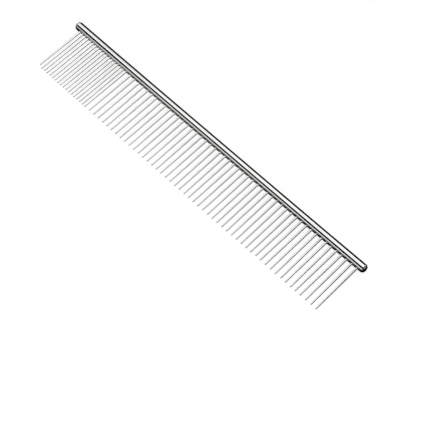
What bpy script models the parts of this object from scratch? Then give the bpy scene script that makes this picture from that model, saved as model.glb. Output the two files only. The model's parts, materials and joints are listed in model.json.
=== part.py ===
"""A steel grooming comb: a round polished bar with one row of tapered pins pressed into it.

The comb lies as it does on a table, on its bar and on the tips of its pins. The bar runs along X,
the fine pins start at its -X end, and the pins point towards -Y. The origin is on the table, under
the middle of the comb. Run it with blender --background --python part.py, or from the text editor.
"""

import math

import bpy

# Driving sizes, in metres.
SPINE_LENGTH = 0.254
SPINE_DIAMETER = 0.0059
END_FLAT_DIAMETER = 0.0013  # what the rounding leaves flat on each end of the bar
FINE_END_MARGIN = 0.0056  # from the bar's end to the axis of the first fine pin
COARSE_END_MARGIN = 0.0045  # at least this much from the last coarse pin's axis to the bar's other end
FINE_PIN_COUNT = 18
FINE_PITCH = 0.002575
COARSE_PITCH = 0.004073
PIN_ROOT_DIAMETER = 0.0015
PIN_TIP_DIAMETER = 0.0009
PIN_LENGTH = 0.0365  # what stands out of the bar
SEAT_FLOOR = 0.0015  # metal left in the bar beyond the end of a pin's hole
SEAT_CLEARANCE = 0.00005  # between a pressed pin and the wall and floor of its hole
PIN_CHAMFER = 0.0002  # at the pressed end of a pin

# How finely round shapes are divided.
SPINE_SIDES = 32
PIN_SIDES = 10
END_STEPS = 5
TIP_STEPS = 3

# A part has at most this many separate pieces, so some pins are made in one with the bar: these
# outermost fine ones, and on a longer comb the coarse ones past the limit.
MOST_PIECES = 60
JOINED_FINE_PINS = 8

# Sizes that follow from those above.
SPINE_RADIUS = SPINE_DIAMETER / 2
END_RADIUS = SPINE_RADIUS - END_FLAT_DIAMETER / 2
PIN_ROOT_RADIUS = PIN_ROOT_DIAMETER / 2
PIN_TIP_RADIUS = PIN_TIP_DIAMETER / 2
PIN_REACH = SPINE_RADIUS + PIN_LENGTH  # from the bar's axis to the tip
SEAT_RADIUS = PIN_ROOT_RADIUS + SEAT_CLEARANCE
SEAT_END = -(SPINE_RADIUS - SEAT_FLOOR)  # the hole's floor, measured along the pin from the bar's axis
CUTTER_OVERSHOOT = PIN_ROOT_DIAMETER  # how far the drill's shape stands out of the bar
WELD_DISTANCE = 1e-6
SHARP_ANGLE = math.radians(40)

# The comb touches the table along its bar and at the tips, so its pins slope down to them.
REST_SLOPE = math.asin((SPINE_RADIUS - PIN_TIP_RADIUS) / (PIN_REACH - PIN_TIP_RADIUS))
FAR_EDGE = PIN_TIP_RADIUS + (PIN_REACH - PIN_TIP_RADIUS) * math.cos(REST_SLOPE)
SPINE_OFFSET = (FAR_EDGE - SPINE_RADIUS) / 2  # puts the origin under the middle of the comb


def clear_scene():
    for old in list(bpy.data.objects):
        bpy.data.objects.remove(old, do_unlink=True)


def new_collection(name):
    collection = bpy.data.collections.new(name)
    bpy.context.scene.collection.children.link(collection)
    return collection


def metal(name, colour, roughness):
    material = bpy.data.materials.new(name)
    material.use_nodes = True
    shader = material.node_tree.nodes["Principled BSDF"]
    shader.inputs["Base Color"].default_value = (*colour, 1.0)
    shader.inputs["Metallic"].default_value = 1.0
    shader.inputs["Roughness"].default_value = roughness
    return material


def rounding(centre, radius, start, end, steps):
    """Points of a circular arc, as (radius, height), between two angles from the horizontal."""
    across, height = centre
    angles = [start + (end - start) * i / steps for i in range(steps + 1)]
    return [(across + radius * math.cos(a), height + radius * math.sin(a)) for a in angles]


def turned_mesh(name, profile, sides):
    """A closed mesh turned about Z from a (radius, height) profile that is listed from the top down."""
    outline = bpy.data.meshes.new(name + "_outline")
    points = [(radius, 0.0, height) for radius, height in profile]
    outline.from_pydata(points, [(i, i + 1) for i in range(len(points) - 1)], [])
    blank = bpy.data.objects.new(name + "_blank", outline)
    bpy.context.scene.collection.objects.link(blank)
    turn = blank.modifiers.new("turn", "SCREW")
    turn.axis = "Z"
    turn.angle = math.tau
    turn.steps = sides
    turn.render_steps = sides
    turn.use_merge_vertices = True
    turn.merge_threshold = WELD_DISTANCE
    graph = bpy.context.evaluated_depsgraph_get()
    mesh = bpy.data.meshes.new_from_object(blank.evaluated_get(graph))
    mesh.name = name
    bpy.data.objects.remove(blank, do_unlink=True)
    bpy.data.meshes.remove(outline)
    mesh.shade_smooth()
    mesh.set_sharp_from_angle(angle=SHARP_ANGLE)
    return mesh


def place(name, mesh, collection, frame):
    piece = bpy.data.objects.new(name, mesh)
    piece.parent = frame
    collection.objects.link(piece)
    return piece


def comb_frame(collection):
    """The empty that carries the whole comb: on the bar's axis, sloped so that the tips touch the table."""
    frame = bpy.data.objects.new("comb_frame", None)
    frame.location = (0.0, SPINE_OFFSET, SPINE_RADIUS)
    frame.rotation_euler = (REST_SLOPE, 0.0, 0.0)
    collection.objects.link(frame)
    return frame


def pin_stations():
    """The name and the place along the bar of every pin, from the fine end to the coarse end."""
    first = FINE_END_MARGIN - SPINE_LENGTH / 2
    fine = [first + i * FINE_PITCH for i in range(FINE_PIN_COUNT)]
    coarse_room = SPINE_LENGTH / 2 - COARSE_END_MARGIN - fine[-1]
    coarse_count = int(coarse_room / COARSE_PITCH)
    coarse = [fine[-1] + (i + 1) * COARSE_PITCH for i in range(coarse_count)]
    stations = [(f"fine_pin_{i + 1:02d}", x) for i, x in enumerate(fine)]
    return stations + [(f"coarse_pin_{i + 1:02d}", x) for i, x in enumerate(coarse)]


def spine_mesh(material):
    half = SPINE_LENGTH / 2
    centre = half - END_RADIUS
    flat = END_FLAT_DIAMETER / 2
    upper = rounding((flat, centre), END_RADIUS, math.pi / 2, 0.0, END_STEPS)
    lower = rounding((flat, -centre), END_RADIUS, 0.0, -math.pi / 2, END_STEPS)
    mesh = turned_mesh("spine", [(0.0, half), *upper, *lower, (0.0, -half)], SPINE_SIDES)
    mesh.materials.append(material)
    return mesh


def pin_profile(seated_end):
    """A pin from its rounded tip down its taper to the straight shank and the chamfered pressed end."""
    tip_centre = PIN_REACH - PIN_TIP_RADIUS
    tip = rounding((0.0, tip_centre), PIN_TIP_RADIUS, math.pi / 2, 0.0, TIP_STEPS)
    shank = [
        (PIN_ROOT_RADIUS, SPINE_RADIUS),
        (PIN_ROOT_RADIUS, seated_end + PIN_CHAMFER),
        (PIN_ROOT_RADIUS - PIN_CHAMFER, seated_end),
    ]
    return [(0.0, PIN_REACH), *tip[1:], *shank, (0.0, seated_end)]


def seat_profile():
    """The drilled hole of a pin, running past the bar's surface so that it cuts cleanly."""
    mouth = SPINE_RADIUS + CUTTER_OVERSHOOT
    return [(0.0, mouth), (SEAT_RADIUS, mouth), (SEAT_RADIUS, SEAT_END), (0.0, SEAT_END)]


def stand_across(piece, x):
    """Puts a piece that was turned about Z at x along the bar, with its top pointing to -Y."""
    piece.location.x = x
    piece.rotation_euler.x = math.pi / 2


def as_helper(piece):
    piece.hide_render = True
    piece.display_type = "WIRE"


def combine(piece, operation, collection):
    boolean = piece.modifiers.new(operation.lower(), "BOOLEAN")
    boolean.operation = operation
    boolean.solver = "EXACT"
    boolean.operand_type = "COLLECTION"
    boolean.collection = collection


def build():
    clear_scene()
    comb = new_collection("steel_grooming_comb")
    seats = new_collection("pin_seats")
    joined = new_collection("joined_pins")
    chrome = metal("polished_chrome", (0.80, 0.80, 0.81), 0.06)
    steel = metal("pin_steel", (0.72, 0.71, 0.70), 0.22)
    frame = comb_frame(comb)

    spine = place("spine", spine_mesh(chrome), comb, frame)
    spine.rotation_euler.y = math.pi / 2

    pin = turned_mesh("pin", pin_profile(SEAT_END + SEAT_CLEARANCE), PIN_SIDES)
    pin.materials.append(steel)
    seat = turned_mesh("pin_seat", seat_profile(), PIN_SIDES)

    stations = pin_stations()
    last_pressed = JOINED_FINE_PINS + MOST_PIECES - 1
    for name, x in stations[JOINED_FINE_PINS:last_pressed]:
        stand_across(place(name, pin, comb, frame), x)
        hole = place(name + "_seat", seat, seats, frame)
        stand_across(hole, x)
        as_helper(hole)
    for name, x in stations[:JOINED_FINE_PINS] + stations[last_pressed:]:
        joined_pin = place(name + "_joined", pin, joined, frame)
        stand_across(joined_pin, x)
        as_helper(joined_pin)

    combine(spine, "DIFFERENCE", seats)
    combine(spine, "UNION", joined)
    bpy.context.view_layer.update()


build()
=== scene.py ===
import json
import math

import bpy
import numpy as np
from mathutils import Matrix, Vector


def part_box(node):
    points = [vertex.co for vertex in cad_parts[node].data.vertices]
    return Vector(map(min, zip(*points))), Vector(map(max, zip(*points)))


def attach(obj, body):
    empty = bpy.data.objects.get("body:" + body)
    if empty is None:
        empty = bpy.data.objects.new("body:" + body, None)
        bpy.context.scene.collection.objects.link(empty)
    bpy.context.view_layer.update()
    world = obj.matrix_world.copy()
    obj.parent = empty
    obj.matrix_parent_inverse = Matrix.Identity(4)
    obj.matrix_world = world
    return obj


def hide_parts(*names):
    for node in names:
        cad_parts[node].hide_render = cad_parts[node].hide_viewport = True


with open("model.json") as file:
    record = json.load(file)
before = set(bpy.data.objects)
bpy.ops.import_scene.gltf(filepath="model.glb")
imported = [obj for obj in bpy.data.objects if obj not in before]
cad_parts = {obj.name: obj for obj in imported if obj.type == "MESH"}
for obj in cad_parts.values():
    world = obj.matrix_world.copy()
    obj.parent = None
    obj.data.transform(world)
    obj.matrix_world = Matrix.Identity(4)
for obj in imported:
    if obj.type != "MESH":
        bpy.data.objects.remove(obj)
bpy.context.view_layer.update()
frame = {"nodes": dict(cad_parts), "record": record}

# The comb's own axes: X along the bar from the fine end, -Y along the pins, Z up out of their plane.
endFaces = {mount["name"]: np.array(mount["pos_m"]) for mount in frame["record"]["mounts"]}
fineEnd = endFaces["fine_end_face"]
coarseEnd = endFaces["coarse_end_face"]
barCentre = (fineEnd + coarseEnd) / 2
barLength = coarseEnd[0] - fineEnd[0]

bar = {
    "radius": 0.00295,
    "cornerRadius": 0.0023,  # of the rounded ends, which leave a small flat in the middle
    "bow": 0.00035,  # how far both ends bend away from the pins
    "bowPower": 3.0,
    "cornerSteps": 20,
    "runSteps": 160,
    "around": 128,
}

pin = {
    "rootRadius": 0.00075,
    "tipRadius": 0.00045,
    "fillet": 0.00005,  # plating that bridges the pin and the bar
    "sunk": 0.0010,  # how far the piece carries on inside the bar
    "filletSteps": 5,
    "shankSteps": 14,
    "tipSteps": 6,
    "around": 24,
    "lean": 0.00009,  # how far a tip strays sideways
    "lift": 0.00002,  # and up or down
    "stretch": 0.002,  # spread of the pins' lengths, as a share
    "seed": 41,
    # pins that depart more: shift and lean along the bar, and added length
    "odd": {
        "finePin01": (0.0, 0.0, -0.0012),
        "coarsePin04": (0.0, 0.00035, 0.0),
        "coarsePin37": (0.0, -0.0003, -0.0005),
        "coarsePin38": (0.0, -0.0004, 0.0),
        "coarsePin39": (0.0, -0.00035, 0.0),
        "coarsePin42": (0.0001, 0.00035, 0.0),
        "coarsePin44": (0.0, 0.00035, 0.0),
        "coarsePin45": (0.0, -0.0003, 0.0),
        "coarsePin46": (0.0, -0.00035, 0.0),
        "coarsePin49": (0.00015, 0.00012, 0.0),
    },
}


def pinStations():
    # every pin's name, its node or None, and its place along the bar
    def nodeX(node):
        low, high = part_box(node)
        return (low[0] + high[0]) / 2

    pinNodes = [name for name in frame["nodes"] if name != "spine"]
    fineNodes = sorted(name for name in pinNodes if name.startswith("fine"))
    coarseNodes = sorted(name for name in pinNodes if name.startswith("coarse"))
    finePitch = nodeX(fineNodes[1]) - nodeX(fineNodes[0])
    # the outermost fine pins belong to the spine's node, so the first number tells how many they are
    joinedCount = int(fineNodes[0].split("_")[-1]) - 1
    stations = []
    for i in range(joinedCount):
        x = nodeX(fineNodes[0]) - (joinedCount - i) * finePitch
        stations.append((f"finePin{i + 1:02d}", None, x))
    for node in fineNodes + coarseNodes:
        kind, number = node.split("_pin_")
        stations.append((f"{kind}Pin{number}", node, nodeX(node)))
    return stations


def restSlope():
    # the pins slope down from the bar's axis so that their tips touch the table; gives the slope and
    # how far the tips are from that axis
    low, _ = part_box("coarse_pin_01")
    across = barCentre[1] - low[1] - pin["tipRadius"]
    down = barCentre[2] - pin["tipRadius"]
    return math.atan2(down, across), math.hypot(down, across) + pin["tipRadius"]


slope, pinReach = restSlope()
layTurn = np.array(Matrix.Rotation(slope, 3, "X"))


def laid(points):
    # comb axes to the table: bent by a power of the share of the way to the bar's end, turned about X
    # by the slope, then moved to the bar's axis
    share = np.abs(points[..., 0]) / (barLength / 2)
    bent = points + np.stack([share * 0, bar["bow"] * share ** bar["bowPower"], share * 0], -1)
    return bent @ layTurn.T + barCentre


print("frame: slope", round(math.degrees(slope), 3), "reach", round(pinReach, 5))


def meshFromRings(name, rings, firstPole, lastPole):
    # rings is an array of ring, point, xyz; neighbours are joined by quads, each end closes on a pole
    ringCount, around = rings.shape[:2]
    points = np.vstack([rings.reshape(-1, 3), firstPole[None], lastPole[None]])
    ring = np.arange(ringCount - 1)[:, None] * around
    nextRing = ring + around
    step = np.arange(around)
    after = (step + 1) % around
    quads = np.stack([ring + step, ring + after, nextRing + after, nextRing + step], -1)
    first = ringCount * around
    last = (ringCount - 1) * around
    firstFan = np.stack([np.full(around, first), after, step], -1)
    lastFan = np.stack([np.full(around, first + 1), last + step, last + after], -1)
    faces = quads.reshape(-1, 4).tolist() + firstFan.tolist() + lastFan.tolist()
    mesh = bpy.data.meshes.new(name)
    mesh.from_pydata(points.tolist(), [], faces)
    mesh.shade_smooth()
    piece = bpy.data.objects.new(name, mesh)
    bpy.context.scene.collection.objects.link(piece)
    return piece


def newGroup(name, values, outputs):
    # every group reads a place; its other inputs are vectors or numbers, and its outputs are numbers
    group = bpy.data.node_groups.new(name, "ShaderNodeTree")
    for socketName, value in {"Vector": (0, 0, 0), **values}.items():
        kind = "NodeSocketVector" if isinstance(value, tuple) else "NodeSocketFloat"
        socket = group.interface.new_socket(socketName, in_out="INPUT", socket_type=kind)
        socket.default_value = value
    for socketName in outputs:
        group.interface.new_socket(socketName, in_out="OUTPUT", socket_type="NodeSocketFloat")
    given = group.nodes.new("NodeGroupInput")
    result = group.nodes.new("NodeGroupOutput")
    return group, given.outputs, result.inputs


def addNode(tree, kind, settings=None, **inputs):
    # an input is named, or numbered as i0, i1 and so on, and takes another node's socket or a value
    node = tree.nodes.new(kind)
    for key, value in (settings or {}).items():
        setattr(node, key, value)
    for key, value in inputs.items():
        numbered = key[0] == "i" and key[1:].isdigit()
        socket = node.inputs[int(key[1:])] if numbered else node.inputs[key]
        if isinstance(value, bpy.types.NodeSocket):
            tree.links.new(value, socket)
        else:
            socket.default_value = value
    return node


def maths(tree, operation, a, b=0.0, clamp=False):
    settings = {"operation": operation, "use_clamp": clamp}
    return addNode(tree, "ShaderNodeMath", settings, i0=a, i1=b).outputs[0]


def vectorMaths(tree, operation, a, b=(0.0, 0.0, 0.0), output=0):
    node = addNode(tree, "ShaderNodeVectorMath", {"operation": operation}, i0=a, i1=b)
    return node.outputs[output]


def ramp(tree, value, fromRange, toRange=(0.0, 1.0)):
    node = addNode(tree, "ShaderNodeMapRange", {"interpolation_type": "SMOOTHSTEP"}, i0=value,
                   i1=fromRange[0], i2=fromRange[1], i3=toRange[0], i4=toRange[1])
    return node.outputs[0]


def noise(tree, vector, scale, detail=3.0, roughness=0.55):
    node = addNode(tree, "ShaderNodeTexNoise", Vector=vector, Scale=scale, Detail=detail,
                   Roughness=roughness)
    return node.outputs["Fac"]


polish = {
    "detail": 4.0,
    "roughness": 0.65,
    "toneScale": 0.13,  # against the scale of the lines
    "toneDetail": 2.0,
    "toneCut": (0.3, 0.7),
}


def makePolishLines():
    # fine polishing lines: noise squeezed along one axis, so that it draws out into lines across it
    group, given, result = newGroup(
        "polishLines", {"Squeeze": (1, 1, 1), "Scale": 1000.0}, ["Height", "Tone"])
    squeezed = vectorMaths(group, "MULTIPLY", given["Vector"], given["Squeeze"])
    fine = noise(group, squeezed, given["Scale"], polish["detail"], polish["roughness"])
    toneScale = maths(group, "MULTIPLY", given["Scale"], polish["toneScale"])
    broad = noise(group, squeezed, toneScale, polish["toneDetail"])
    group.links.new(fine, result["Height"])
    group.links.new(ramp(group, broad, polish["toneCut"]), result["Tone"])
    return group


scratches = {
    "detail": 1.0,
    "zero": 0.5,  # the noise's middle value, which the hairlines follow
    "patchScale": 90.0,
    "patchDetail": 2.0,
    "patchCut": (0.52, 0.62),
}


def makeHairScratches():
    # sparse hairlines: the thin zero lines of a stretched noise, kept only in patches of a broad noise
    group, given, result = newGroup(
        "hairScratches", {"Stretch": (1, 1, 1), "Scale": 200.0, "Width": 0.01}, ["Mask"])
    stretched = vectorMaths(group, "MULTIPLY", given["Vector"], given["Stretch"])
    field = noise(group, stretched, given["Scale"], scratches["detail"])
    off = maths(group, "ABSOLUTE", maths(group, "SUBTRACT", field, scratches["zero"]))
    fall = maths(group, "DIVIDE", off, given["Width"])
    line = maths(group, "SUBTRACT", 1.0, fall, clamp=True)
    broad = noise(group, given["Vector"], scratches["patchScale"], scratches["patchDetail"])
    patches = ramp(group, broad, scratches["patchCut"])
    group.links.new(maths(group, "MULTIPLY", line, patches), result["Mask"])
    return group


handling = {
    "broadDetail": 3.0,
    "broadCut": (0.42, 0.68),
    "closeScale": 9.0,  # against the broad noise
    "closeDetail": 4.0,
    "closeRoughness": 0.7,
    "closeCut": (0.25, 0.75),
    "closeTo": (0.35, 1.0),
}


def makeHandlingHaze():
    # soft patches left by hands and cloths: two noises multiplied and cut softly
    group, given, result = newGroup("handlingHaze", {"Scale": 60.0}, ["Mask"])
    broad = noise(group, given["Vector"], given["Scale"], handling["broadDetail"])
    closeScale = maths(group, "MULTIPLY", given["Scale"], handling["closeScale"])
    close = noise(group, given["Vector"], closeScale, handling["closeDetail"],
                  handling["closeRoughness"])
    patches = maths(group, "MULTIPLY", ramp(group, broad, handling["broadCut"]),
                    ramp(group, close, handling["closeCut"], handling["closeTo"]))
    group.links.new(patches, result["Mask"])
    return group


# painted shade on the bar's side that the pins leave from, and residue at the pins' roots: how its mask
# falls
seatAndShade = {
    "facingCut": (0.82, 0.94),  # cosine of the angle to the pins' direction
    "brokenScale": 700.0,
    "brokenDetail": 4.0,
    "brokenCut": (0.35, 0.65),
    "brokenTo": (0.4, 1.0),
}


def makeSeatResidueAndShade():
    # near the bar and on the side that the pins leave from: falls off with distance from the bar's
    # surface, and with the angle to the pins' direction. On the bar it is painted shade along that
    # whole side, and at the pins' roots it is painted shade and residue
    group, given, result = newGroup("seatResidueAndShade", {"Reach": 0.001}, ["Mask"])
    pinWay = layTurn @ np.array([0.0, -1.0, 0.0])
    along = addNode(group, "ShaderNodeSeparateXYZ", i0=given["Vector"]).outputs[0]
    share = maths(group, "DIVIDE", maths(group, "ABSOLUTE", along), barLength / 2)
    bow = maths(group, "MULTIPLY", maths(group, "POWER", share, bar["bowPower"]), bar["bow"])
    axisY = maths(group, "ADD", bow, barCentre[1])
    axis = addNode(group, "ShaderNodeCombineXYZ", i1=axisY, i2=barCentre[2])
    fromAxis = vectorMaths(group, "SUBTRACT", given["Vector"], axis.outputs[0])
    across = vectorMaths(group, "MULTIPLY", fromAxis, (0.0, 1.0, 1.0))
    distance = vectorMaths(group, "LENGTH", across, output=1)
    outward = vectorMaths(group, "NORMALIZE", across)
    toward = vectorMaths(group, "DOT_PRODUCT", outward, tuple(pinWay), output=1)
    outside = maths(group, "SUBTRACT", distance, bar["radius"])
    fall = maths(group, "DIVIDE", outside, given["Reach"])
    near = maths(group, "SUBTRACT", 1.0, fall, clamp=True)
    facing = ramp(group, toward, seatAndShade["facingCut"])
    spots = noise(group, given["Vector"], seatAndShade["brokenScale"], seatAndShade["brokenDetail"])
    broken = ramp(group, spots, seatAndShade["brokenCut"], seatAndShade["brokenTo"])
    mask = maths(group, "MULTIPLY", maths(group, "MULTIPLY", near, facing), broken)
    group.links.new(mask, result["Mask"])
    return group


pinTone = {"detail": 0.0, "cut": (0.3, 0.7)}


def makeStepTone():
    # one tone for each pin: noise read only along the bar, so that neighbours differ a little
    group, given, result = newGroup("stepTone", {"Scale": 400.0}, ["Tone"])
    along = vectorMaths(group, "MULTIPLY", given["Vector"], (1.0, 0.0, 0.0))
    tone = ramp(group, noise(group, along, given["Scale"], pinTone["detail"]), pinTone["cut"])
    group.links.new(tone, result["Tone"])
    return group


polishLines = makePolishLines()
hairScratches = makeHairScratches()
handlingHaze = makeHandlingHaze()
seatResidueAndShade = makeSeatResidueAndShade()
stepTone = makeStepTone()
print("shader groups made")


def placed(tree, group, **inputs):
    return addNode(tree, "ShaderNodeGroup", {"node_tree": group}, **inputs).outputs


def mixColour(tree, factor, a, b):
    # the colour mix has its factor at socket 0 and its two colours at 6 and 7
    return addNode(tree, "ShaderNodeMix", {"data_type": "RGBA"}, i0=factor, i6=a, i7=b).outputs[2]


def opaque(colour):
    return (*colour, 1.0)


def metalFinish(name, look):
    # a bare or plated metal: lines, hairlines, haze and residue change its colour, its roughness and
    # its bumps; the residue mask also paints shade on the bar's side that the pins leave from
    material = bpy.data.materials.new(name)
    material.use_nodes = True
    tree = material.node_tree
    shader = tree.nodes["Principled BSDF"]
    shader.inputs["Metallic"].default_value = 1.0
    where = tree.nodes.new("ShaderNodeTexCoord").outputs["Object"]
    lines = placed(tree, polishLines, Vector=where, Squeeze=look["squeeze"], Scale=look["lineScale"])
    hair = placed(tree, hairScratches, Vector=where, Stretch=look["stretch"],
                  Scale=look["hairScale"], Width=look["hairWidth"])["Mask"]
    haze = placed(tree, handlingHaze, Vector=where, Scale=look["hazeScale"])["Mask"]
    residueAndShade = placed(tree, seatResidueAndShade, Vector=where, Reach=look["residueAndShadeReach"])["Mask"]
    tone = placed(tree, stepTone, Vector=where, Scale=look["toneScale"])["Tone"]

    clean = mixColour(tree, tone, opaque(look["colour"]), opaque(look["otherColour"]))
    hazeShare = maths(tree, "MULTIPLY", haze, look["hazeColourShare"])
    hazed = mixColour(tree, hazeShare, clean, opaque(look["hazeColour"]))
    # the residue colour is painted shade along the bar's pin side, and residue where the pins are
    # seated
    shadeAndDirtShare = maths(tree, "MULTIPLY", residueAndShade, look["residueAndShadeShare"])
    shadedAndDirty = mixColour(tree, shadeAndDirtShare, hazed, opaque(look["residueAndShadeColour"]))
    tree.links.new(shadedAndDirty, shader.inputs["Base Color"])

    rough = look["roughness"]
    for mask, added in ((lines["Tone"], "lineRoughness"), (haze, "hazeRoughness"),
                        (hair, "hairRoughness"), (residueAndShade, "residueRoughness")):
        rough = maths(tree, "ADD", rough, maths(tree, "MULTIPLY", mask, look[added]))
    tree.links.new(rough, shader.inputs["Roughness"])

    depth = maths(tree, "MULTIPLY", hair, look["hairDepth"])
    height = maths(tree, "SUBTRACT", lines["Height"], depth)
    bump = addNode(tree, "ShaderNodeBump", Strength=look["bumpStrength"],
                   Distance=look["bumpDistance"], Height=height)
    tree.links.new(bump.outputs["Normal"], shader.inputs["Normal"])
    return material


barLook = {
    "colour": (0.86, 0.86, 0.865),
    "otherColour": (0.83, 0.83, 0.835),
    "toneScale": 40.0,
    "roughness": 0.025,
    "squeeze": (1.0, 0.06, 0.06),  # lines run round the bar
    "lineScale": 6000.0,
    "lineRoughness": 0.02,
    "stretch": (0.25, 1.0, 1.0),  # hairlines run mostly along it
    "hairScale": 900.0,
    "hairWidth": 0.006,
    "hairRoughness": 0.12,
    "hairDepth": 0.8,
    "hazeScale": 55.0,
    "hazeColour": (0.78, 0.78, 0.77),
    "hazeColourShare": 0.5,
    "hazeRoughness": 0.02,
    "residueAndShadeReach": 0.0006,
    # painted shade on the pins' side of the bar, with some residue at the seats
    "residueAndShadeColour": (0.22, 0.205, 0.185),
    "residueAndShadeShare": 0.8,
    "residueRoughness": 0.08,
    "bumpStrength": 0.25,
    "bumpDistance": 0.0000008,
}

pinLook = {
    "colour": (0.87, 0.87, 0.865),
    "otherColour": (0.83, 0.825, 0.82),
    "toneScale": 330.0,
    "roughness": 0.06,
    "squeeze": (0.12, 1.0, 0.12),  # ground round the taper
    "lineScale": 7000.0,
    "lineRoughness": 0.05,
    "stretch": (1.0, 0.12, 1.0),
    "hairScale": 1600.0,
    "hairWidth": 0.01,
    "hairRoughness": 0.15,
    "hairDepth": 0.8,
    "hazeScale": 70.0,
    "hazeColour": (0.74, 0.73, 0.71),
    "hazeColourShare": 0.6,
    "hazeRoughness": 0.06,
    "residueAndShadeReach": 0.0005,
    # painted shade and residue at the pins' roots
    "residueAndShadeColour": (0.34, 0.31, 0.27),
    "residueAndShadeShare": 0.2,
    "residueRoughness": 0.12,
    "bumpStrength": 0.3,
    "bumpDistance": 0.0000015,
}

barChrome = metalFinish("barChrome", barLook)
pinPlating = metalFinish("pinPlating", pinLook)
print("materials made")


def barRings():
    # the profile is a quarter circle at each end and a straight run between them, as place along the
    # bar and distance from its axis; turned about the axis it gives the rings
    half = barLength / 2
    corner = bar["cornerRadius"]
    flat = bar["radius"] - corner
    angle = np.linspace(0.0, math.pi / 2, bar["cornerSteps"] + 1)
    cornerAlong = half - corner + corner * np.cos(angle)
    cornerOut = flat + corner * np.sin(angle)
    run = np.linspace(-half + corner, half - corner, bar["runSteps"] + 1)[1:-1]
    along = np.concatenate([-cornerAlong, run, cornerAlong[::-1]])[:, None]
    out = np.concatenate([cornerOut, np.full(run.shape, bar["radius"]), cornerOut[::-1]])[:, None]
    turn = np.linspace(0.0, math.tau, bar["around"], endpoint=False)
    return np.stack(np.broadcast_arrays(along, out * np.cos(turn), out * np.sin(turn)), -1)


def makeBar():
    end = np.array([barLength / 2, 0.0, 0.0])
    piece = meshFromRings("polishedBar", laid(barRings()), laid(-end), laid(end))
    piece.data.materials.append(barChrome)
    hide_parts("spine")
    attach(piece, "root")


makeBar()
print("bar made")


def pinRings(x, leanX, leanZ, stretch):
    # distance from the pin's axis and place along it, ring by ring: sunk end, a fillet that follows
    # the bar's round surface, a straight taper, and a rounded tip
    turn = np.linspace(0.0, math.tau, pin["around"], endpoint=False)[None]
    root, tip, fillet = pin["rootRadius"], pin["tipRadius"], pin["fillet"]
    tipCentre = bar["radius"] + (pinReach - bar["radius"]) * stretch - tip

    def barSurface(out):
        # where the bar's surface lies, along the pin, at that distance from the pin's axis
        return np.sqrt(bar["radius"] ** 2 - (out * np.sin(turn)) ** 2)

    sunkOut = np.full((1, 1), root + fillet)
    sunkAlong = barSurface(sunkOut) - pin["sunk"]
    bend = np.linspace(0.0, math.pi / 2, pin["filletSteps"] + 1)[:, None]
    filletOut = root + fillet * (1 - np.sin(bend))
    filletAlong = barSurface(filletOut) + fillet * (1 - np.cos(bend))
    share = np.linspace(0.0, 1.0, pin["shankSteps"] + 1)[1:, None]
    shankAlong = (1 - share) * (barSurface(root) + fillet) + share * tipCentre
    shankOut = root + (tip - root) * share
    tipBend = np.linspace(0.0, math.pi / 2, pin["tipSteps"] + 1)[1:-1, None]
    tipOut = tip * np.cos(tipBend)
    tipAlong = tipCentre + tip * np.sin(tipBend)

    full = np.ones_like(turn)
    out = np.vstack([sunkOut * full, filletOut * full, shankOut * full, tipOut * full])
    along = np.vstack([sunkAlong, filletAlong, shankAlong, tipAlong * full])
    stray = np.clip((along - bar["radius"]) / (pinReach - bar["radius"]), 0.0, None)
    across = x + out * np.cos(turn) + leanX * stray
    upward = out * np.sin(turn) + leanZ * stray
    rings = np.stack([across, -along, upward], -1)
    firstPole = np.array([x, pin["sunk"] - bar["radius"], 0.0])
    lastPole = np.array([x + leanX, -(tipCentre + tip), leanZ])
    return rings, firstPole, lastPole


def makePins():
    chance = np.random.default_rng(pin["seed"])
    for name, node, x in pinStations():
        leanX, leanZ, extra = chance.normal(0.0, (pin["lean"], pin["lift"], pin["stretch"]))
        shift, oddLean, oddLength = pin["odd"].get(name, (0.0, 0.0, 0.0))
        stretch = 1.0 + extra + oddLength / (pinReach - bar["radius"])
        rings, firstPole, lastPole = pinRings(x + shift, leanX + oddLean, leanZ, stretch)
        piece = meshFromRings(name, laid(rings), laid(firstPole), laid(lastPole))
        piece.data.materials.append(pinPlating)
        if node:
            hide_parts(node)
        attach(piece, "root")


makePins()
print("pins made")

studio = {
    "floorHalf": 4.0,
    "floorShade": 0.05,  # how much of the floor's white takes shadows
    "floorColour": (0.9, 0.9, 0.9),  # where it takes them
    "baseHalf": 2.0,  # of a dark card on the table that only the metal sees
    "baseHeight": 0.00005,
    "glow": 1.35,  # the brightest card, which the metal gives back as white
    "plain": (1.0, 1.0),  # green and blue of a card's grey, against its red
    "warm": (0.985, 0.955),
}

black = [(-1.0, 0.0), (1.0, 0.0)]
white = [(-1.0, 1.0), (1.0, 1.0)]
far = 0.9  # distance from the bar's axis
inFront = far - 0.01  # of the far cards
reach = 2.0  # half the length of the longest cards

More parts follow.
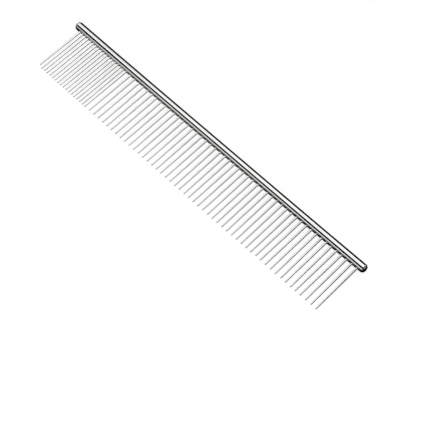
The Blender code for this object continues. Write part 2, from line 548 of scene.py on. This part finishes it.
# Long cards over the comb and beside it. Top and foot are the angles of their edges from straight up,
# positive on the pins' side, and the foot has one angle at each end. Tones are greys at places along
# the axis.
longCards = {
    "backCard": {
        "top": -45.5, "foot": (-91.0, -91.0), "distance": far, "ends": (-reach, reach), "axis": 0,
        "tones": [(-2.0, 0.5), (-0.9, 0.004), (-0.02, 0.004), (0.45, 0.7), (2.0, 0.9)],
    },
    "overheadBack": {
        "top": -18.0, "foot": (-46.5, -46.5), "distance": inFront, "ends": (-reach, -0.62),
        "axis": 0, "tones": white,
    },
    "overheadBackMiddle": {
        "top": -18.0, "foot": (-46.5, -51.5), "distance": inFront, "ends": (-0.62, -0.20),
        "axis": 0, "tones": white,
    },
    "overheadBackRight": {
        "top": -18.0, "foot": (-51.5, -51.5), "distance": inFront, "ends": (-0.20, reach),
        "axis": 0, "tones": white,
    },
    "overheadFront": {
        "top": 13.4, "foot": (-18.0, -18.0), "distance": far, "ends": (-reach, reach), "axis": 0,
        "tones": white,
    },
    "cameraSideCard": {
        "top": 13.4, "foot": (58.0, 58.0), "distance": far, "ends": (-reach, reach), "axis": 0,
        "tones": black,
    },
    "cameraSideLeftCard": {  # makes the dark band wider there
        "top": 40.0, "foot": (69.0, 58.0), "distance": inFront, "ends": (-0.75, -0.41),
        "axis": 0, "tones": black,
    },
    "frontCard": {
        "top": 58.0, "foot": (91.0, 91.0), "distance": far, "ends": (-reach, reach), "axis": 2,
        "tones": [(0.0, 0.25), (0.08, 0.27), (0.19, 0.34), (0.31, 0.62), (0.38, 0.86),
                  (0.43, 1.0), (0.49, 1.0)],
        "tint": studio["warm"],
    },
    # these two are close to the bar, so that the pins hardly see them
    "overheadSeam": {  # the dark gap between two overhead cards
        "top": -10.0, "foot": (-17.0, -17.0), "distance": 0.03, "ends": (-0.143, 0.121),
        "axis": 0, "tones": [(-0.2, 0.12), (0.2, 0.12)],
    },
    "overheadDim": {
        "top": -18.0, "foot": (-46.5, -46.5), "distance": 0.1, "ends": (-0.21, -0.03), "axis": 0,
        "tones": [(-0.21, 0.90), (-0.18, 0.82), (-0.14, 0.76), (-0.09, 0.88), (-0.05, 0.95),
                  (-0.03, 1.0)],
    },
}

# Upright cards past the bar's ends, square to it. Their greys change with height.
standingCards = {
    "leftCard": {
        "x": -0.35, "ys": (-0.05, 0.22), "height": 0.07, "tones": [(0.0, 0.004), (0.07, 0.02)],
    },
    "rightCard": {
        "x": 0.168, "ys": (-0.06, 0.17), "height": 0.27, "tones": [(0.0, 0.004), (0.27, 0.004)],
    },
    "capCard": {
        "x": 0.137, "ys": (0.012, 0.07), "height": 0.035,
        "tones": [(0.0, 0.004), (0.010, 0.004), (0.0115, 0.36), (0.0145, 0.36), (0.016, 0.10),
                  (0.035, 0.09)],
    },
}


def emptyMaterial(name):
    material = bpy.data.materials.new(name)
    material.use_nodes = True
    tree = material.node_tree
    tree.nodes.clear()
    return material, tree, tree.nodes.new("ShaderNodeOutputMaterial").inputs["Surface"]


def stagedSheet(name, corners, material):
    mesh = bpy.data.meshes.new(name)
    mesh.from_pydata([tuple(corner) for corner in corners], [], [(0, 1, 2, 3)])
    mesh.materials.append(material)
    sheet = bpy.data.objects.new(name, mesh)
    bpy.context.scene.collection.objects.link(sheet)
    return sheet


def squareAt(height, half):
    return [(-half, -half, height), (half, -half, height), (half, half, height),
            (-half, half, height)]


def floorPaint():
    # white to the camera and in the metal, with part of it shaded so that the comb keeps a faint shadow
    material, tree, surface = emptyMaterial("paleFloor")
    shaded = addNode(tree, "ShaderNodeBsdfDiffuse", Color=opaque(studio["floorColour"]))
    bright = addNode(tree, "ShaderNodeEmission", Color=(1.0, 1.0, 1.0, 1.0), Strength=1.0)
    rays = tree.nodes.new("ShaderNodeLightPath").outputs
    seen = maths(tree, "MAXIMUM", rays["Is Camera Ray"], rays["Is Glossy Ray"])
    seen = maths(tree, "MAXIMUM", seen, rays["Is Transmission Ray"])
    share = maths(tree, "MULTIPLY", seen, 1.0 - studio["floorShade"])
    mix = addNode(tree, "ShaderNodeMixShader", i0=share, i1=shaded.outputs[0], i2=bright.outputs[0])
    tree.links.new(mix.outputs[0], surface)
    return material


def cardPaint(name, axis, tones, tint):
    # it glows in greys that run from tone to tone; each tone is a place on the axis and a grey
    material, tree, surface = emptyMaterial(name)
    where = tree.nodes.new("ShaderNodeTexCoord").outputs["Object"]
    place = addNode(tree, "ShaderNodeSeparateXYZ", i0=where).outputs[axis]
    low, high = tones[0][0], tones[-1][0]
    share = addNode(tree, "ShaderNodeMapRange", i0=place, i1=low, i2=high, i3=0.0, i4=1.0)
    greys = addNode(tree, "ShaderNodeValToRGB", Fac=share.outputs[0])
    elements = greys.color_ramp.elements
    while len(elements) < len(tones):
        elements.new(0.5)
    for element, (at, grey) in zip(elements, tones):
        element.position = (at - low) / (high - low)
        element.color = (grey, grey * tint[0], grey * tint[1], 1.0)
    glow = addNode(tree, "ShaderNodeEmission", Color=greys.outputs[0], Strength=studio["glow"])
    tree.links.new(glow.outputs[0], surface)
    return material


def metalOnlyCard(name, corners, axis, tones, tint=studio["plain"]):
    # only the metal sees it: it lights nothing and throws no shadow
    card = stagedSheet(name, corners, cardPaint(name, axis, tones, tint))
    card.visible_camera = False
    card.visible_diffuse = False
    card.visible_shadow = False


def longCard(name, top, foot, distance, ends, axis, tones, tint=studio["plain"]):
    # each corner lies at the card's distance from the bar's axis, turned about it by its angle
    def corner(x, degrees):
        angle = math.radians(degrees)
        return barCentre + np.array([x, -distance * math.sin(angle), distance * math.cos(angle)])

    left, right = ends
    corners = [corner(left, top), corner(right, top), corner(right, foot[1]), corner(left, foot[0])]
    metalOnlyCard(name, corners, axis, tones, tint)


def standingCard(name, x, ys, height, tones):
    low, high = ys
    corners = [(x, low, 0.0), (x, high, 0.0), (x, high, height), (x, low, height)]
    metalOnlyCard(name, corners, 2, tones)


softBox = {
    "place": (-0.3, 0.3, 1.2),
    "size": (1.6, 1.0),
    "power": 1.2,
}


def makeSoftBox():
    # faces the comb; neither the camera nor the metal sees it
    lamp = bpy.data.lights.new("softBox", "AREA")
    lamp.shape = "RECTANGLE"
    lamp.size, lamp.size_y = softBox["size"]
    lamp.energy = softBox["power"]
    box = bpy.data.objects.new("softBox", lamp)
    box.location = softBox["place"]
    box.rotation_euler = Vector(softBox["place"]).to_track_quat("Z", "Y").to_euler()
    box.visible_camera = False
    box.visible_glossy = False
    bpy.context.scene.collection.objects.link(box)


def makeStudio():
    stagedSheet("floor", squareAt(0.0, studio["floorHalf"]), floorPaint())
    for name, card in longCards.items():
        longCard(name, **card)
    for name, card in standingCards.items():
        standingCard(name, **card)
    metalOnlyCard("baseCard", squareAt(studio["baseHeight"], studio["baseHalf"]), 0, black)
    makeSoftBox()

    world = bpy.data.worlds.new("studioWhite")
    world.use_nodes = True
    background = world.node_tree.nodes["Background"].inputs
    background["Color"].default_value = (1.0, 1.0, 1.0, 1.0)
    background["Strength"].default_value = 1.0
    bpy.context.scene.world = world
    bpy.context.scene.view_settings.view_transform = "Standard"


view = {
    "aim": (0.03597, -0.01787, 0.0),  # the point on the table in the middle of the picture
    "azimuth": 40.018,  # round from the pins' side towards the coarse end
    "elevation": 61.097,
    "distance": 0.80203,
    "roll": 4.903,
    "lens": 109.397,
    "clip": (0.01, 50.0),
}


def makeCamera():
    # stands off from the aim by its distance, along the way that its azimuth and elevation give
    data = bpy.data.cameras.new("photoView")
    data.lens = view["lens"]
    data.clip_start, data.clip_end = view["clip"]
    camera = bpy.data.objects.new("photoView", data)
    azimuth = math.radians(view["azimuth"])
    elevation = math.radians(view["elevation"])
    level = math.cos(elevation)
    back = Vector((math.sin(azimuth) * level, -math.cos(azimuth) * level, math.sin(elevation)))
    camera.location = Vector(view["aim"]) + back * view["distance"]
    facing = (-back).to_track_quat("-Z", "Y").to_matrix()
    turned = facing @ Matrix.Rotation(math.radians(view["roll"]), 3, "Z")
    camera.rotation_euler = turned.to_euler()
    bpy.context.scene.collection.objects.link(camera)
    bpy.context.scene.camera = camera


makeStudio()
makeCamera()
print("studio and camera made")
